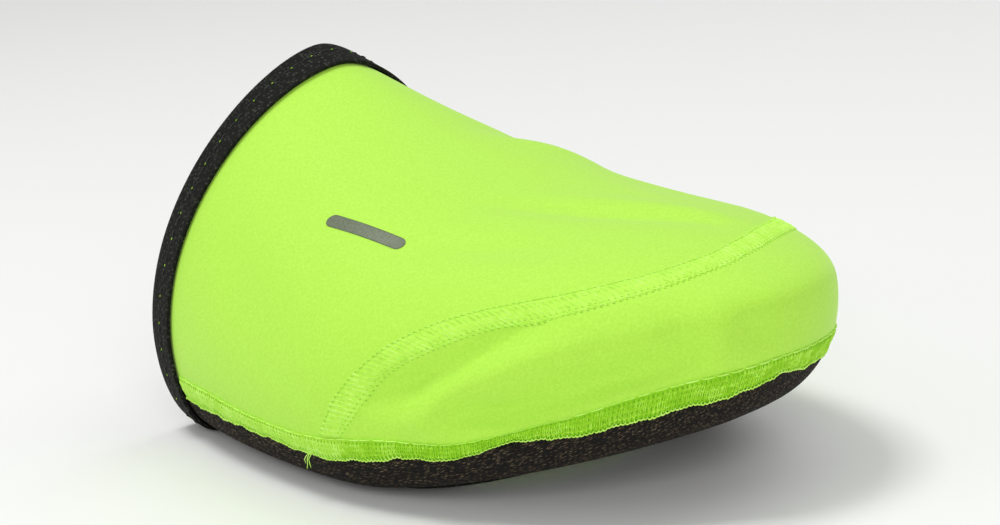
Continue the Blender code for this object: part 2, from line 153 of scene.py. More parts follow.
def seam_edges(name):
    """Lower and upper edge of a seam's outer face, as points from the outer side round to the inner."""
    shape = bmesh.new()
    shape.from_mesh(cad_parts[name].data)
    bmesh.ops.remove_doubles(shape, verts=shape.verts, dist=0.002 * MM)
    sharp = [edge for edge in shape.edges if edge.calc_face_angle(0.0) > math.radians(35)]
    beside = {}
    for edge in sharp:
        first, last = edge.verts
        beside.setdefault(first.index, []).append(last.index)
        beside.setdefault(last.index, []).append(first.index)
    corners = [k for k, others in beside.items() if len(others) == 3]
    shape.verts.ensure_lookup_table()
    lines = []
    for corner in corners:
        for step in beside[corner]:
            line = [corner, step]
            while line[-1] not in corners:
                line.append(next(k for k in beside[line[-1]] if k != line[-2]))
            if len(line) > 20 and corner < line[-1]:
                lines.append(np.array([shape.verts[k].co for k in line]))
    shape.free()
    lines = [line if line[0][1] < line[-1][1] else line[::-1] for line in lines]
    lines.sort(key=lambda line: line[:, 2].mean())
    return [min(pair, key=lambda line: line[0][1]) for pair in (lines[:2], lines[2:])]


def even_line(points, count):
    """The smooth curve through some points, as so many evenly spaced ones."""
    for _ in range(2):
        lengths = np.linalg.norm(np.diff(points, axis=0), axis=1)
        at = np.concatenate([[0], np.cumsum(lengths)])
        slopes = np.gradient(points, at, axis=0)
        wanted = np.linspace(0, at[-1], count)
        k = np.clip(np.searchsorted(at, wanted, side="right") - 1, 0, len(at) - 2)
        span = (at[k + 1] - at[k])[:, None]
        f = ((wanted - at[k])[:, None]) / span
        points = (points[k] * (1 + 2 * f) * (1 - f) ** 2 + points[k + 1] * f * f * (3 - 2 * f)
                  + slopes[k] * span * f * (1 - f) ** 2 - slopes[k + 1] * span * f * f * (1 - f))
    return points


def crease(item):
    """Push the folds into a piece, less and less towards the seam round the sole."""
    points = points_of(item)
    rim = even_line(seam_edges("sole_seam")[0], 160)
    away = np.linalg.norm(points[:, None] - rim[None], axis=2).min(axis=1)
    lift = fold_height(points) * np.clip((away - 3.4 * MM) / (3.8 * MM), 0, 1)
    set_points(item, points + normals_of(item) * lift[:, None])


def colour(code):
    """A colour of the screen, as linear light."""
    parts = [int(code[k:k + 2], 16) / 255 for k in (0, 2, 4)]
    return [c / 12.92 if c <= 0.04045 else ((c + 0.055) / 1.055) ** 2.4 for c in parts] + [1.0]


def finish_named(name):
    """A new finish, with its shader."""
    finish = bpy.data.materials.new(name)
    finish.use_nodes = True
    tree = finish.node_tree
    return finish, tree, tree.nodes["Principled BSDF"]


def node(tree, kind, links=(), **settings):
    """Add a node, with its settings, and link its inputs."""
    item = tree.nodes.new(kind)
    for key, value in settings.items():
        setattr(item, key, value)
    for socket, source in dict(links).items():
        if hasattr(source, "links") or hasattr(source, "is_output"):
            tree.links.new(source, item.inputs[socket])
        else:
            item.inputs[socket].default_value = source
    return item


def ramp(tree, source, *stops):
    item = node(tree, "ShaderNodeValToRGB", {"Fac": source})
    while len(item.color_ramp.elements) < len(stops):
        item.color_ramp.elements.new(0.5)
    for element, (place, shade) in zip(item.color_ramp.elements, stops):
        element.position = place
        element.color = shade if isinstance(shade, (list, tuple)) else (shade, shade, shade, 1)
    return item.outputs["Color"]


# Softshell face: polyester knit of about 0.35 mm loops, matt, with a soft pale bloom where it turns away.
softshell, tree, shader = finish_named("softshell_hi_vis_knit")
place = node(tree, "ShaderNodeTexCoord").outputs["Object"]
loops = node(tree, "ShaderNodeTexNoise", {"Vector": place, "Scale": 1900.0, "Detail": 2.0})
hue = ramp(tree, loops.outputs["Fac"], (0.30, colour("AAE530")), (0.50, colour("B0E938")), (0.70, colour("B6ED40")))
tree.links.new(hue, shader.inputs["Base Color"])
grain = node(tree, "ShaderNodeBump", {"Height": loops.outputs["Fac"], "Distance": 0.00006, "Strength": 0.35})
tree.links.new(grain.outputs["Normal"], shader.inputs["Normal"])
shader.inputs["Roughness"].default_value = 0.8
shader.inputs["Specular IOR Level"].default_value = 1.0
shader.inputs["Sheen Weight"].default_value = 0.3
shader.inputs["Sheen Roughness"].default_value = 0.45
shader.inputs["Sheen Tint"].default_value = colour("E6FFC0")

# Fleece back: the same yarn brushed to a short nap, paler and duller than the face.
fleece, tree, shader = finish_named("brushed_fleece_back")
place = node(tree, "ShaderNodeTexCoord").outputs["Object"]
nap = node(tree, "ShaderNodeTexNoise", {"Vector": place, "Scale": 900.0, "Detail": 4.0, "Roughness": 0.7})
hue = ramp(tree, nap.outputs["Fac"], (0.3, colour("8FB83A")), (0.7, colour("B4DA62")))
tree.links.new(hue, shader.inputs["Base Color"])
grain = node(tree, "ShaderNodeBump", {"Height": nap.outputs["Fac"], "Distance": 0.0004, "Strength": 0.6})
tree.links.new(grain.outputs["Normal"], shader.inputs["Normal"])
shader.inputs["Roughness"].default_value = 0.95
shader.inputs["Sheen Weight"].default_value = 0.5

CROWN = (36.0, 6.5, 51.3)   # in mm, where the toe's ribs run together


def take_crown(item, reach):
    """Go into a piece with only the cloth round the crown of the toe selected."""
    bpy.ops.object.mode_set(mode="EDIT")
    bpy.ops.mesh.select_mode(type="VERT")
    bpy.ops.mesh.select_all(action="DESELECT")
    bpy.ops.object.mode_set(mode="OBJECT")
    away = np.linalg.norm(points_of(item) - np.array(CROWN) * MM, axis=1)
    item.data.vertices.foreach_set("select", away < reach)
    bpy.ops.object.mode_set(mode="EDIT")


upper = outer_face("upper", "softshell_upper")
take_crown(upper, 5.0 * MM)
bpy.ops.mesh.remove_doubles(threshold=1.8 * MM)
bpy.ops.object.mode_set(mode="OBJECT")
finished(upper, "SUBSURF", levels=2, render_levels=2, boundary_smooth="PRESERVE_CORNERS")
take_crown(upper, 7.0 * MM)
bpy.ops.mesh.vertices_smooth(factor=0.5, repeat=30)
bpy.ops.object.mode_set(mode="OBJECT")
crease(upper)
upper_face = BVHTree.FromObject(upper, bpy.context.evaluated_depsgraph_get())
upper.data.materials.clear()
upper.data.materials.append(softshell)
upper.data.materials.append(fleece)
finished(upper, "SOLIDIFY", thickness=UPPER_WALL, offset=-1.0, use_even_offset=False, material_offset=1)
upper.data.shade_smooth()
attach(upper, "root")
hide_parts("upper")


# The sole: one piece of coarse brown-black knit, moulded up at its side to meet the upper and reaching
# a little way under the seam, with the cleat opening cut out of its middle.
SOLE_WALL = 1.4 * MM
SEAM_LAP = 0.9 * MM         # each of two steps of knit that run up under the seam

# Coarse knit: thick textured yarn, near black, with short flecks of brown ply that shows on each loop.
knit, tree, shader = finish_named("coarse_sole_knit")
place = node(tree, "ShaderNodeUVMap", uv_map="cloth").outputs["UV"]
wobble = node(tree, "ShaderNodeTexNoise", {"Vector": place, "Scale": 260.0, "Detail": 1.0})
shaken = node(tree, "ShaderNodeVectorMath", {0: wobble.outputs["Color"], 1: (0.0009, 0.0009, 0.0)},
              operation="MULTIPLY")
moved = node(tree, "ShaderNodeVectorMath", {0: place, 1: shaken.outputs[0]}, operation="ADD")
marks = []
for turn, seed in ((0.42, 0.0), (-0.38, 31.0)):
    turned = node(tree, "ShaderNodeMapping", {"Vector": moved.outputs[0], "Scale": (760.0, 1700.0, 1.0),
                                              "Rotation": (0.0, 0.0, turn), "Location": (seed, seed, 0.0)})
    loop = node(tree, "ShaderNodeTexVoronoi", {"Vector": turned.outputs[0], "Randomness": 0.75})
    loop.inputs["Scale"].default_value = 1.0
    chosen = node(tree, "ShaderNodeSeparateColor", {"Color": loop.outputs["Color"]})
    body = ramp(tree, loop.outputs["Distance"], (0.22, 1.0), (0.58, 0.0))
    lit = ramp(tree, chosen.outputs["Red"], (0.15, 0.0), (0.85, 1.0))
    mark = node(tree, "ShaderNodeMath", {0: body, 1: lit}, operation="MULTIPLY")
    marks.append((body, mark.outputs[0]))
mark = node(tree, "ShaderNodeMath", {0: marks[0][1], 1: marks[1][1]}, operation="MAXIMUM")
body = node(tree, "ShaderNodeMath", {0: marks[0][0], 1: marks[1][0]}, operation="ADD")
hue = ramp(tree, mark.outputs[0], (0.0, colour("0F0D09")), (0.25, colour("272018")), (0.60, colour("544736")),
           (1.0, colour("7A6A55")))
tree.links.new(hue, shader.inputs["Base Color"])
relief = node(tree, "ShaderNodeBump", {"Height": body.outputs[0], "Distance": 0.0008, "Strength": 0.9})
tree.links.new(relief.outputs["Normal"], shader.inputs["Normal"])
shader.inputs["Roughness"].default_value = 0.9
shader.inputs["Specular IOR Level"].default_value = 0.25

def lay_cloth_map(item):
    """Map of the flat cloth in metres: plan of the foot, with the turned-up side laid out beyond it."""
    points, normals = points_of(item), normals_of(item)
    tilt = np.linalg.norm(normals[:, :2], axis=1, keepdims=True)
    out = normals[:, :2] / np.maximum(tilt, 1e-6)
    flat = points[:, :2] + out * tilt * points[:, 2:] * 0.8
    layer = item.data.uv_layers.new(name="cloth")
    corners = np.empty(len(item.data.loops), int)
    item.data.loops.foreach_get("vertex_index", corners)
    layer.data.foreach_set("uv", flat[corners].ravel())


sole = outer_face("sole", "knit_sole")
finished(sole, "SUBSURF", levels=2, render_levels=2, boundary_smooth="PRESERVE_CORNERS")
lower, upper_edge = (even_line(line, 400) for line in seam_edges("sole_seam"))
for step in range(2):
    bpy.ops.object.mode_set(mode="EDIT")
    bpy.ops.mesh.select_mode(type="VERT")
    bpy.ops.mesh.select_all(action="DESELECT")
    bpy.ops.mesh.select_non_manifold(extend=False, use_wire=False, use_multi_face=False,
                                     use_non_contiguous=False, use_verts=False)
    bpy.ops.object.mode_set(mode="OBJECT")
    chosen = np.empty(len(sole.data.vertices), bool)
    sole.data.vertices.foreach_get("select", chosen)
    points = points_of(sole)
    gaps = np.linalg.norm(points[:, None] - lower[None], axis=2)
    chosen &= gaps.min(axis=1) < (2.6 + 1.4 * step) * MM
    beside = gaps.argmin(axis=1)
    for part in (sole.data.edges, sole.data.polygons):
        part.foreach_set("select", np.zeros(len(part), bool))
    sole.data.vertices.foreach_set("select", chosen)
    bpy.ops.object.mode_set(mode="EDIT")
    bpy.ops.mesh.extrude_edges_move()
    bpy.ops.object.mode_set(mode="OBJECT")
    chosen = np.empty(len(sole.data.vertices), bool)
    sole.data.vertices.foreach_get("select", chosen)
    points = points_of(sole)
    for k in np.nonzero(chosen)[0]:
        near = np.linalg.norm(lower - points[k], axis=1).argmin()
        way = upper_edge[near] - lower[near]
        target = Vector(points[k] + way / np.linalg.norm(way) * SEAM_LAP)
        face, facing = upper_face.find_nearest(target)[:2]
        points[k] = face + facing * 0.08 * MM
    set_points(sole, points)
sole_face = BVHTree.FromObject(sole, bpy.context.evaluated_depsgraph_get())
lay_cloth_map(sole)
sole.data.materials.clear()
sole.data.materials.append(knit)
finished(sole, "SOLIDIFY", thickness=SOLE_WALL, offset=-1.0, use_even_offset=False)
sole.data.shade_smooth()


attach(sole, "root")
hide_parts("sole")


# Bindings: black folded elastic tape, a dense fine rib, sewn down its middle over the raw edge of the
# collar and of the cleat opening. The stitches are black, and the shell's thread peeps out between them.
def strands(name, paths, radius):
    """Round threads along some lines of points."""
    bpy.ops.object.select_all(action="DESELECT")
    line = bpy.data.curves.new(name, "CURVE")
    line.dimensions = "3D"
    line.bevel_depth = radius
    line.bevel_resolution = 1
    line.use_fill_caps = True
    for path in paths:
        spline = line.splines.new("POLY")
        spline.points.add(len(path) - 1)
        for point, place in zip(spline.points, path):
            point.co = (place[0], place[1], place[2], 1.0)
            point.radius = 1.0
        spline.points[0].radius = spline.points[-1].radius = 0.55
    item = bpy.data.objects.new(name, line)
    bpy.context.collection.objects.link(item)
    take(item)
    bpy.ops.object.convert(target="MESH")
    return bpy.context.object


tape, tree, shader = finish_named("black_elastic_tape")
place = node(tree, "ShaderNodeTexCoord").outputs["Object"]
yarn = node(tree, "ShaderNodeTexVoronoi", {"Vector": place, "Scale": 1350.0, "Randomness": 0.9})
chosen = node(tree, "ShaderNodeSeparateColor", {"Color": yarn.outputs["Color"]})
crown = ramp(tree, yarn.outputs["Distance"], (0.15, 1.0), (0.55, 0.0))
lit = ramp(tree, chosen.outputs["Green"], (0.15, 0.0), (0.95, 1.0))
mark = node(tree, "ShaderNodeMath", {0: crown, 1: lit}, operation="MULTIPLY")
hue = ramp(tree, mark.outputs[0], (0.0, colour("11120E")), (0.40, colour("2C2E27")), (1.0, colour("44483E")))
tree.links.new(hue, shader.inputs["Base Color"])
grain = node(tree, "ShaderNodeBump", {"Height": crown, "Distance": 0.00025, "Strength": 0.8})
tree.links.new(grain.outputs["Normal"], shader.inputs["Normal"])
shader.inputs["Roughness"].default_value = 0.85
shader.inputs["Specular IOR Level"].default_value = 0.2

for name in ("collar_binding", "cleat_opening_binding"):
    binding = bpy.data.objects.new(name + "_tape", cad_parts[name].data.copy())
    bpy.context.collection.objects.link(binding)
    take(binding)
    bpy.ops.object.mode_set(mode="EDIT")
    bpy.ops.mesh.select_all(action="SELECT")
    bpy.ops.mesh.remove_doubles(threshold=0.002 * MM)
    bpy.ops.mesh.tris_convert_to_quads(face_threshold=math.radians(60), shape_threshold=math.radians(60))
    bpy.ops.object.mode_set(mode="OBJECT")
    finished(binding, "BEVEL", width=0.15 * MM, segments=2, limit_method="ANGLE",
             angle_limit=math.radians(50))
    finished(binding, "SUBSURF", levels=2, render_levels=2)
    binding.data.materials.clear()
    binding.data.materials.append(tape)
    binding.data.shade_smooth()
    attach(binding, "root")
    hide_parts(name)
    if name == "collar_binding":
        collar = binding

# The row of stitches round the collar, along the middle of the tape's outer face.
COLLAR_STITCH = 3.0 * MM
points, normals = points_of(collar), normals_of(collar)
tape_face = BVHTree.FromObject(collar, bpy.context.evaluated_depsgraph_get())
centre = points.mean(axis=0)
axis = np.linalg.svd(points - centre, full_matrices=False)[2][2]
first = np.cross(axis, (0.0, 0.0, 1.0))
first /= np.linalg.norm(first)
second = np.cross(axis, first)
turns = np.arctan2((points - centre) @ second, (points - centre) @ first)
middle, levels, outs = [], [], []
for turn in np.linspace(-math.pi, math.pi, 241):
    out = math.cos(turn) * first + math.sin(turn) * second
    near = (np.cos(turns - turn) > math.cos(math.radians(4.0))) & (normals @ out > 0.3)
    if near.any():
        level = (points[near] - centre) @ axis
        levels.append((level.min() + level.max()) / 2)
        outs.append(out)
for _ in range(6):
    levels[1:-1] = [(a + 2 * b + c) / 4 for a, b, c in zip(levels, levels[1:], levels[2:])]
for level, out in zip(levels, outs):
    start = Vector(centre + axis * level + out * 0.09)
    middle.append(np.array(tape_face.ray_cast(start, Vector(-out))[0]))
middle = even_line(np.array(middle), 2400)
spacing = np.linalg.norm(np.diff(middle, axis=0), axis=1).mean()
paths, peeps = [], []
for start in range(0, len(middle) - 30, int(COLLAR_STITCH / spacing)):
    line = middle[start:start + int(0.7 * COLLAR_STITCH / spacing):4]
    away = np.array(tape_face.find_nearest(Vector(line[len(line) // 2]))[1])
    rise = 0.12 * MM * np.sin(np.linspace(-0.5, math.pi + 0.5, len(line)))
    paths.append(line + away * rise[:, None])
    if start // int(COLLAR_STITCH / spacing) % 2:
        peep = middle[start - int(0.2 * COLLAR_STITCH / spacing):][:5:2]
        peeps.append(peep + away * 0.03 * MM)

# Black sewing thread, smoother than the tape.
black_thread, tree, shader = finish_named("black_sewing_thread")
shader.inputs["Base Color"].default_value = colour("1A1B18")
shader.inputs["Roughness"].default_value = 0.55


# Flatlock seams: the panels butt edge to edge and are joined by rows of needle thread and a web of soft
# cover thread from row to row, which stands a little proud of the cloth. Each seam is worked flat, with
# its length along X, its width along Y and its height over the cloth along Z, and then laid on the foot.
def ground_of(lower, upper, faces, rows=13):
    """The strip of cloth between two lines: its points and normals, length and width."""
    length = np.linalg.norm(np.diff((lower + upper) / 2, axis=0), axis=1).sum()
    width = np.linalg.norm(upper - lower, axis=1).mean()
    shares = np.linspace(0, 1, rows)[None, :, None]
    points = lower[:, None] * (1 - shares) + upper[:, None] * shares
    flat = points.reshape(-1, 3)
    for k, point in enumerate(flat):
        found = [face.find_nearest(Vector(point)) for face in faces]
        flat[k] = min(found, key=lambda hit: hit[3])[0]
    points = flat.reshape(points.shape)
    for _ in range(12):
        points[1:-1] = (points[:-2] + 2 * points[1:-1] + points[2:]) / 4
    for _ in range(3):
        points[:, 1:-1] = (points[:, :-2] + 2 * points[:, 1:-1] + points[:, 2:]) / 4
    for row, share in ((-1, 1.0), (-2, 0.6), (-3, 0.3)):
        for k, point in enumerate(points[:, row]):
            found = np.array(faces[0].find_nearest(Vector(point))[0])
            points[k, row] = point * (1 - share) + found * share
    normals = np.cross(np.gradient(points, axis=0), np.gradient(points, axis=1))
    normals /= np.linalg.norm(normals, axis=2, keepdims=True)
    return {"points": points, "normals": normals, "length": length, "width": width}


def lay(item, ground):
    """Lay what was worked flat on its strip of cloth."""
    flat = points_of(item)
    columns, rows = ground["points"].shape[:2]
    x = flat[:, 0] / ground["length"] * (columns - 1)
    y = flat[:, 1] / ground["width"] * (rows - 1)
    i = np.clip(np.floor(x).astype(int), 0, columns - 2)
    j = np.clip(np.floor(y).astype(int), 0, rows - 2)
    f, g = (x - i)[:, None], (y - j)[:, None]

    def between(table):
        near = table[i, j] * (1 - f) + table[i + 1, j] * f
        far = table[i, j + 1] * (1 - f) + table[i + 1, j + 1] * f
        return near * (1 - g) + far * g
    set_points(item, between(ground["points"]) + between(ground["normals"]) * flat[:, 2:])


def flat_band(name, length, width, spacing, rows):
    """A flat strip of quads, with a map of it in metres."""
    columns = int(length / spacing)
    bpy.ops.mesh.primitive_grid_add(x_subdivisions=columns, y_subdivisions=rows, size=1.0)
    item = bpy.context.object
    item.name = name
    points = points_of(item) + np.array([0.5, 0.5, 0.0])
    set_points(item, points * np.array([length, width, 1.0]))
    layer = item.data.uv_layers.active
    layer.name = "seam"
    corners = np.empty(len(item.data.loops), int)
    item.data.loops.foreach_get("vertex_index", corners)
    layer.data.foreach_set("uv", points_of(item)[corners][:, :2].ravel())
    return item


def row_of_thread(name, path, radius, pitch, count, start=0.0, sway=0.0, seed=1):
    """One stitch of thread along a flat path, repeated down the seam, with each copy a little astray."""
    item = strands(name, [path], radius)
    each = len(item.data.vertices)
    finished(item, "ARRAY", count=count, use_relative_offset=False, use_constant_offset=True,
             constant_offset_displace=(pitch, 0.0, 0.0))
    points = points_of(item)
    chance = np.random.RandomState(seed)
    copy = np.arange(len(points)) // each
    shift = chance.normal(0.0, 1.0, (count, 3)) * np.array([sway, sway * 0.7, sway * 0.35])
    lean = chance.normal(0.0, 1.0, count) * sway / 0.004
    points = points + shift[copy] + np.array([start, 0.0, 0.0])
    points[:, 0] += lean[copy] * (points[:, 1] - points[:, 1].mean())
    set_points(item, points)
    item.data.shade_smooth()
    return item


def joined(name, items):
    take(items[0])
    for item in items:
        item.select_set(True)
    bpy.ops.object.join()
    items[0].name = name
    items[0].data.name = name
    return items[0]


def thread_finish(name, shades, gloss):
    """Textured polyester thread: two or three soft plies, matt, uneven in tone along its length."""
    finish, tree, shader = finish_named(name)
    place = node(tree, "ShaderNodeTexCoord").outputs["Object"]
    ply = node(tree, "ShaderNodeTexNoise", {"Vector": place, "Scale": 1500.0, "Detail": 2.0})
    patch = node(tree, "ShaderNodeTexNoise", {"Vector": place, "Scale": 330.0, "Detail": 1.0})
    tone = node(tree, "ShaderNodeMath", {0: ply.outputs["Fac"], 1: patch.outputs["Fac"]}, operation="ADD")
    half = node(tree, "ShaderNodeMath", {0: tone.outputs[0], 1: 0.5}, operation="MULTIPLY")
    hue = ramp(tree, half.outputs[0], (0.38, colour(shades[0])), (0.50, colour(shades[1])),
               (0.60, colour(shades[2])))
    tree.links.new(hue, shader.inputs["Base Color"])
    grain = node(tree, "ShaderNodeBump", {"Height": ply.outputs["Fac"], "Distance": 0.0001, "Strength": 0.6})
    tree.links.new(grain.outputs["Normal"], shader.inputs["Normal"])
    shader.inputs["Roughness"].default_value = 0.7
    shader.inputs["Specular IOR Level"].default_value = gloss
    return finish


pale_thread = thread_finish("pale_seam_thread", ("B4EC40", "C0F452", "CCFA70"), 0.9)
# Deeper green thread: the shell's own thread where it peeps out at the collar, and painted shade over the front of
# the sole's seam, drawn darker where that seam lies in shade.
green_thread_and_shade = thread_finish("green_thread_and_painted_shade", ("90D010", "A8E228", "C0F258"), 0.4)

# Cloth under the web, pressed down by it; at the needle holes the shade in them is painted on as darker spots.
def pressed_cloth(name, pitch, holes, shades, length, width, gloss):
    """Ground of a seam; holes are rows of distance up it, radius and offset, all in metres, of needle holes painted
    darker as shade; shades are the ground's two front and two rear tones and the painted shade of the holes.
    """
    finish, tree, shader = finish_named(name)
    place = node(tree, "ShaderNodeUVMap", uv_map="seam").outputs["UV"]
    parts = node(tree, "ShaderNodeSeparateXYZ", {"Vector": place})
    hole_shade = None
    for up, radius, offset in holes:
        shifted = node(tree, "ShaderNodeMath", {0: parts.outputs["X"], 1: offset}, operation="ADD")
        beside = node(tree, "ShaderNodeMath", {0: shifted.outputs[0], 1: pitch / 2}, operation="PINGPONG")
        above = node(tree, "ShaderNodeMath", {0: parts.outputs["Y"], 1: up}, operation="SUBTRACT")
        spot = node(tree, "ShaderNodeCombineXYZ", {"X": beside.outputs[0], "Y": above.outputs[0]})
        away = node(tree, "ShaderNodeVectorMath", {0: spot.outputs[0]}, operation="LENGTH")
        dot = node(tree, "ShaderNodeMapRange", {"Value": away.outputs["Value"], "From Min": radius,
                                                "From Max": radius * 0.35})
        hole_shade = dot.outputs[0] if hole_shade is None else node(
            tree, "ShaderNodeMath", {0: hole_shade, 1: dot.outputs[0]}, operation="MAXIMUM").outputs[0]
    middle = node(tree, "ShaderNodeMath", {0: parts.outputs["X"], 1: length / 2}, operation="SUBTRACT")
    out = node(tree, "ShaderNodeMath", {0: middle.outputs[0]}, operation="ABSOLUTE")
    rear = node(tree, "ShaderNodeMapRange", {"Value": out.outputs[0], "From Min": length / 2 - 74 * MM,
                                             "From Max": length / 2 - 56 * MM})
    blur = node(tree, "ShaderNodeTexNoise", {"Vector": place, "Scale": 900.0, "Detail": 2.0})
    # Front and rear tones of the ground; round the sole the front tones are painted shade, the gaps of the web
    # drawn darker green than the shell.
    front = ramp(tree, blur.outputs["Fac"], (0.35, colour(shades[0])), (0.65, colour(shades[1])))
    back = ramp(tree, blur.outputs["Fac"], (0.35, colour(shades[2])), (0.65, colour(shades[3])))
    hue = node(tree, "ShaderNodeMix", {"Factor": rear.outputs[0], "A": front, "B": back}, data_type="RGBA")
    top = node(tree, "ShaderNodeMapRange", {"Value": parts.outputs["Y"], "From Min": 0.90 * width,
                                            "From Max": 1.00 * width})
    edge = node(tree, "ShaderNodeMix", {"Factor": top.outputs[0], "A": hue.outputs["Result"],
                                        "B": colour("B1E93E")}, data_type="RGBA")
    # Painted shade in the needle holes: the ground turns to the last shade at each hole.
    with_hole_shade = node(tree, "ShaderNodeMix", {"Factor": hole_shade, "A": edge.outputs["Result"],
                                        "B": colour(shades[4])}, data_type="RGBA")
    tree.links.new(with_hole_shade.outputs["Result"], shader.inputs["Base Color"])
    weave = node(tree, "ShaderNodeBump", {"Height": blur.outputs["Fac"], "Distance": 0.0002, "Strength": 0.5})
    tree.links.new(weave.outputs["Normal"], shader.inputs["Normal"])
    shader.inputs["Roughness"].default_value = 0.8
    shader.inputs["Specular IOR Level"].default_value = gloss
    return finish


TOE_PITCH = 1.30 * MM
SEAM_RUN_ON = 2.8 * MM      # each end goes on so far, under the seam round the sole
NEEDLE_ROWS = (0.10, 0.38, 0.68, 0.90)

edges = []
for line in seam_edges("toe_seam"):
    first, last = line[0] - line[1], line[-1] - line[-2]
    first, last = first / np.linalg.norm(first), last / np.linalg.norm(last)
    edges.append(even_line(np.concatenate([[line[0] + first * SEAM_RUN_ON], line, [line[-1] + last * SEAM_RUN_ON]]),
                           340))
ground = ground_of(edges[0], edges[1], [upper_face])
length, width = ground["length"], ground["width"]
band = flat_band("toe_seam_cloth", length, width, 0.45 * MM, 14)
points = points_of(band)
share = points[:, 1] / width
lift = 0.36 * MM * np.clip(np.sin(np.pi * np.clip(share * 0.98 + 0.01, 0, 1)), 0, 1) ** 0.4 - 0.08 * MM
for row in NEEDLE_ROWS:
    lift -= 0.06 * MM * np.exp(-((share - row) * width / (0.4 * MM)) ** 2)
points[:, 2] = lift
set_points(band, points)
lay(band, ground)
# The last colour is the painted shade in the needle holes; the lowest row, along the lower edge, also stands for
# the shade where the seam meets the toe panel.
band.data.materials.append(pressed_cloth(
    "cloth_under_toe_seam", TOE_PITCH,
    ((0.91 * width, 0.40 * MM, 0.0), (0.70 * width, 0.30 * MM, TOE_PITCH / 2),
     (0.20 * width, 0.26 * MM, 0.0), (0.03 * width, 0.36 * MM, 0.0)),
    ("B2EB3C", "BCF24C", "B2EB3C", "BCF24C", "84C414"), length, width, 0.9))
band.data.shade_smooth()

count = int(length / TOE_PITCH) - 1
rows = []
for number, row in enumerate(NEEDLE_ROWS):
    y = row * width
    path = [(x * TOE_PITCH, y, (0.10 + 0.15 * math.sin(math.pi * x / 0.72)) * MM) for x in
            (0.0, 0.12, 0.36, 0.60, 0.72)]
    rows.append(row_of_thread("needle_thread", path, 0.14 * MM, TOE_PITCH, count, 0.18 * MM, 0.05 * MM,
                              seed=11 + number))
for number, (low, high, swing) in enumerate(((0.05, 0.99, 0.12), (0.05, 0.96, -0.12))):
    path = []
    for step in range(9):
        f = step / 8
        y = (low + (high - low) * f) * width
        x = (0.5 + swing * math.sin(2.2 * math.pi * f)) * TOE_PITCH
        z = (0.25 + 0.05 * math.cos(6 * math.pi * f)) * MM
        z = z * min(1.0, 5 * f + 0.1, 5 * (1 - f) + 0.1)
        path.append((x, y, z))
    rows.append(row_of_thread("cover_thread", path, 0.12 * MM, TOE_PITCH, count, 0.0, 0.06 * MM,
                              seed=21 + number))
web = joined("toe_seam_threads", rows)
web.data.materials.append(pale_thread)
lay(web, ground)
for item in (band, web):
    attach(item, "root")
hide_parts("toe_seam")

stitches = strands("collar_stitches", paths, 0.15 * MM)
stitches.data.materials.append(black_thread)
specks = strands("collar_thread_specks", peeps, 0.10 * MM)
specks.data.materials.append(green_thread_and_shade)
TUFT = Vector((-8.3, -50.1, 9.9)) * MM
tuft = strands("loose_thread_ends", [[TUFT + Vector(step) * MM for step in steps] for steps in (
    ((0, 0.4, 0.6), (-0.2, -0.5, 0.1), (-0.5, -0.9, -0.9), (-0.4, -1.0, -2.0), (-0.9, -0.8, -3.1)),
    ((0.3, 0.4, 0.5), (0.3, -0.5, 0.0), (0.1, -1.0, -0.8), (0.5, -1.1, -1.8), (0.4, -0.8, -2.6)),
    ((-0.3, 0.4, 0.6), (-0.5, -0.4, 0.2), (-1.1, -0.7, -0.6), (-1.5, -0.8, -1.3), (-1.7, -0.4, -2.2)))],
    0.09 * MM)
tuft.data.materials.append(pale_thread)
for item in (stitches, specks, tuft):
    points = points_of(item)
    points[:, 2] = np.maximum(points[:, 2], 0.0)
    set_points(item, points)
    item.data.shade_smooth()
    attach(item, "root")


# Round the sole the same seam laps down over the knit with a wandering lower edge. A topstitch of long
# stitches holds it along its upper edge, and the cover thread runs in rungs below.
RUNG_PITCH = 0.95 * MM
LOOP_PITCH = 0.90 * MM
TOPSTITCH = 3.1 * MM
SEAM_DROP = 2.4 * MM        # the strip reaches so far down over the knit
SEAM_WIDTH = 5.0 * MM       # as worked flat, before it is fitted between its two edges
# Nearer the middle than this, the threads and the ground of the sole's seam are painted deeper green as shade.
PALE_ENDS = 60 * MM         # so much of each end is sewn with the paler thread only

# Lower and upper edge of the seam at distances along it, over the edge of the seam allowance, all in mm.
SEAM_EDGES = (
    (0, 0.0, 5.8), (17, 0.4, 5.8), (28, 0.5, 4.9), (37, 0.5, 4.6), (46, 0.1, 4.5), (54, -0.2, 5.1),
    (61, 0.4, 5.8), (68, 0.6, 5.8), (74, 0.8, 5.2), (80, 0.4, 4.1), (84, -0.9, 3.2), (88, -0.9, 2.8),
    (91, -0.1, 2.8), (97, 0.9, 3.3), (102, 0.9, 3.9), (106, 0.4, 4.2), (110, -0.7, 4.3), (114, -1.1, 4.5),
    (119, -0.8, 4.9), (124, -1.1, 5.3), (130, -1.0, 5.3), (134, -0.9, 5.1), (138, -1.4, 4.7),
    (144, -2.0, 4.1), (150, -1.4, 3.9), (156, -0.4, 3.8), (165, -1.6, 3.5), (176, -1.2, 4.0),
    (190, -0.4, 5.0), (204, 0.4, 5.6), (222, -0.3, 5.2), (240, 0.5, 5.8), (262, 0.0, 5.4), (290, 0.5, 5.8),
    (313, 0.0, 5.8))

lower, upper_edge = (even_line(line, 620) for line in seam_edges("sole_seam"))
way = upper_edge - lower
lower -= way / np.linalg.norm(way, axis=1, keepdims=True) * SEAM_DROP
ground = ground_of(lower, upper_edge, [upper_face, sole_face], rows=17)
length, width = ground["length"], SEAM_WIDTH


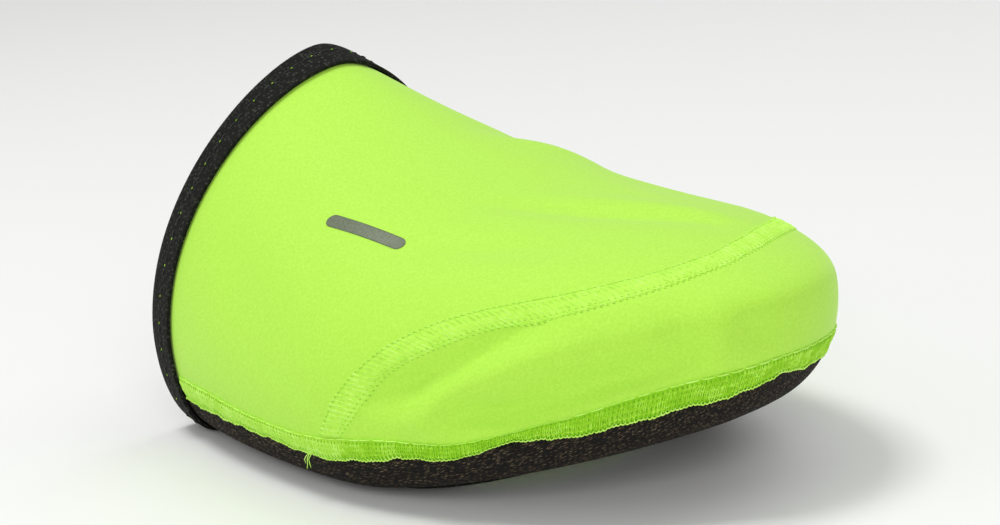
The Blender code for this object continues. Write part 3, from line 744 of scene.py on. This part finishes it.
def fit_between_edges(item):
    """Fit what was worked flat between the wandering edges of the seam."""
    points = points_of(item)
    marks, low, high = np.array(SEAM_EDGES, float).T * MM
    along = points[:, 0]
    ripple = 0.18 * np.sin(along / MM / 1.9) + 0.14 * np.sin(along / MM / 0.83 + 1.0)
    low = np.interp(along, marks, low) + SEAM_DROP + ripple * MM
    high = np.interp(along, marks, high) + SEAM_DROP
    points[:, 1] = low + points[:, 1] / SEAM_WIDTH * (high - low)
    set_points(item, points)


band = flat_band("sole_seam_cloth", length, width, 0.5 * MM, 14)
points = points_of(band)
share = points[:, 1] / width
lift = 0.40 * MM * np.clip(np.sin(np.pi * np.clip(share * 0.96 + 0.03, 0, 1)), 0, 1) ** 0.5 - 0.06 * MM
points[:, 2] = lift
set_points(band, points)
fit_between_edges(band)
lay(band, ground)
# Ground colours: the front pair painted darker green as shade in the web's gaps, the paler rear pair, and the
# painted shade in the needle holes.
band.data.materials.append(pressed_cloth(
    "cloth_under_sole_seam", RUNG_PITCH,
    ((0.14 * width, 0.26 * MM, 0.0), (0.36 * width, 0.28 * MM, 0.0), (0.60 * width, 0.28 * MM, 0.0),
     (0.82 * width, 0.26 * MM, 0.0)),
    ("7CC006", "90D410", "A2DE28", "B2EA40", "68A802"), length, width, 0.35))
band.data.shade_smooth()

count = int(length / RUNG_PITCH) - 1
rows = []
for number, (across, low, high) in enumerate(((0.3, 0.02, 0.92), (0.75, 0.0, 0.90))):
    path = []
    for step in range(6):
        f = step / 5
        y = (low + (high - low) * f) * width
        x = (across + 0.10 * math.sin(3.0 * math.pi * f + 2 * number)) * RUNG_PITCH
        z = (0.33 + 0.05 * math.cos(5 * math.pi * f + number)) * MM
        z = z * min(1.0, 5 * f + 0.3, 5 * (1 - f) + 0.1)
        path.append((x, y, z))
    rows.append(row_of_thread("rung", path, 0.13 * MM, RUNG_PITCH, count, 0.0, 0.07 * MM, seed=31 + number))
for number, row in enumerate((0.24, 0.48, 0.72)):
    path = [(x * RUNG_PITCH, row * width, (0.24 + 0.16 * math.sin(math.pi * x)) * MM) for x in
            (0.0, 0.25, 0.5, 0.75, 1.0)]
    rows.append(row_of_thread("cross_thread", path, 0.10 * MM, RUNG_PITCH, count, 0.0, 0.05 * MM, seed=36 + number))
path = [(x * LOOP_PITCH, (0.045 + y) * width, 0.36 * MM) for x, y in
        ((0.0, 0.0), (0.25, -0.045), (0.5, -0.06), (0.75, -0.045), (1.0, 0.0), (0.9, 0.05))]
edge = row_of_thread("edge_loop", path, 0.17 * MM, LOOP_PITCH, int(length / LOOP_PITCH) - 1, 0.0,
                     0.06 * MM, seed=41)
web = joined("sole_seam_threads", rows)
path = [(x * TOPSTITCH, 0.96 * width, z * MM) for x, z in
        ((0.0, 0.0), (0.06, 0.22), (0.25, 0.30), (0.55, 0.30), (0.82, 0.22), (0.88, 0.0))]
top = row_of_thread("topstitch", path, 0.16 * MM, TOPSTITCH, int(length / TOPSTITCH), 0.3 * MM, 0.05 * MM, 51)
# The web takes the deeper green, painted shade, and keeps the paler thread only over each pale end.
web.data.materials.append(green_thread_and_shade)
for item in (edge, top):
    item.data.materials.append(pale_thread)
web = joined("sole_seam_threads", [web, edge, top])
along = np.array([face.center.x for face in web.data.polygons])
finish = np.empty(len(along), np.int32)
web.data.polygons.foreach_get("material_index", finish)
finish[np.minimum(along, length - along) < PALE_ENDS] = 1
web.data.polygons.foreach_set("material_index", finish)
fit_between_edges(web)
lay(web, ground)
for item in (band, web):
    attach(item, "root")
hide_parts("sole_seam")


# Reflective bar: a plain strip of grey reflective film with round ends, pressed on the side of the instep.
BAR_LENGTH, BAR_HEIGHT, BAR_LIFT = 21.0 * MM, 3.2 * MM, 0.12 * MM
BAR_PLACE = np.array((-10.0, -30.5, 50.9)) * MM
BAR_WAY = Vector((26.2, 2.0, -2.8)).normalized()
BAR_UP = Vector((0.14, -0.39, 0.91)).cross(BAR_WAY).normalized()

film, tree, shader = finish_named("grey_reflective_film")
place = node(tree, "ShaderNodeTexCoord").outputs["Object"]
beads = node(tree, "ShaderNodeTexNoise", {"Vector": place, "Scale": 2400.0, "Detail": 1.0})
hue = ramp(tree, beads.outputs["Fac"], (0.3, colour("5C6650")), (0.7, colour("717B64")))
tree.links.new(hue, shader.inputs["Base Color"])
shader.inputs["Roughness"].default_value = 0.45
shader.inputs["Metallic"].default_value = 0.2

bpy.ops.object.select_all(action="DESELECT")
bpy.ops.mesh.primitive_grid_add(x_subdivisions=84, y_subdivisions=12, size=2.0)
bar = bpy.context.object
bar.name = "reflective_bar"
points = points_of(bar)
along = points[:, 0] * BAR_LENGTH / 2
past = np.clip((np.abs(along) - (BAR_LENGTH - BAR_HEIGHT) / 2) / (BAR_HEIGHT / 2), 0, 0.98)
up = points[:, 1] * BAR_HEIGHT / 2 * np.sqrt(1 - past ** 2)
for k in range(len(points)):
    spot = Vector(BAR_PLACE) + BAR_WAY * along[k] + BAR_UP * up[k]
    face, facing = upper_face.find_nearest(spot)[:2]
    points[k] = face + facing * BAR_LIFT
set_points(bar, points)
finished(bar, "SOLIDIFY", thickness=0.1 * MM, offset=-1.0)
bar.data.materials.append(film)
bar.data.shade_smooth()
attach(bar, "root")


# Plain pale floor, soft light from above and the left, and the camera at the photograph's angle.
bpy.ops.object.select_all(action="DESELECT")
bpy.ops.mesh.primitive_plane_add(size=4.0)
floor = bpy.context.object
floor.name = "floor"
ground, tree, shader = finish_named("pale_floor")
shader.inputs["Base Color"].default_value = colour("F6F6F5")
shader.inputs["Roughness"].default_value = 0.6
floor.data.materials.append(ground)

for name, place, size, power in (
        ("key_light", (-0.25, -0.25, 1.15), 0.35, 5.9),
        ("back_light", (0.1, 0.8, 1.0), 1.0, 4.0),
        ("front_light", (0.9, -0.7, 0.6), 0.7, 5.3),
        ("side_light", (-0.5, -1.0, 0.55), 0.7, 1.9)):
    bpy.ops.object.light_add(type="AREA", location=place)
    lamp = bpy.context.object
    lamp.name = name
    lamp.data.size = size
    lamp.data.energy = power
    lamp.rotation_euler = (-Vector(place)).to_track_quat("-Z", "Y").to_euler()
world = bpy.data.worlds.new("studio")
world.use_nodes = True
world.node_tree.nodes["Background"].inputs["Color"].default_value = colour("FFFFFF")
world.node_tree.nodes["Background"].inputs["Strength"].default_value = 0.36
bpy.context.scene.world = world
bpy.context.scene.view_settings.view_transform = "Standard"

AZIMUTH, ELEVATION, ROLL = math.radians(47.23), math.radians(15.0), math.radians(-3.84)
EYE = Vector((368.18, -343.81, 179.05)) * MM
bpy.ops.object.camera_add(location=EYE)
camera = bpy.context.object
level = Euler((math.pi / 2 - ELEVATION, 0.0, AZIMUTH)).to_matrix()
camera.rotation_euler = (level @ Matrix.Rotation(ROLL, 3, "Z")).to_euler()
camera.data.lens = 91.5
camera.data.shift_y = -0.025
bpy.context.scene.camera = camera
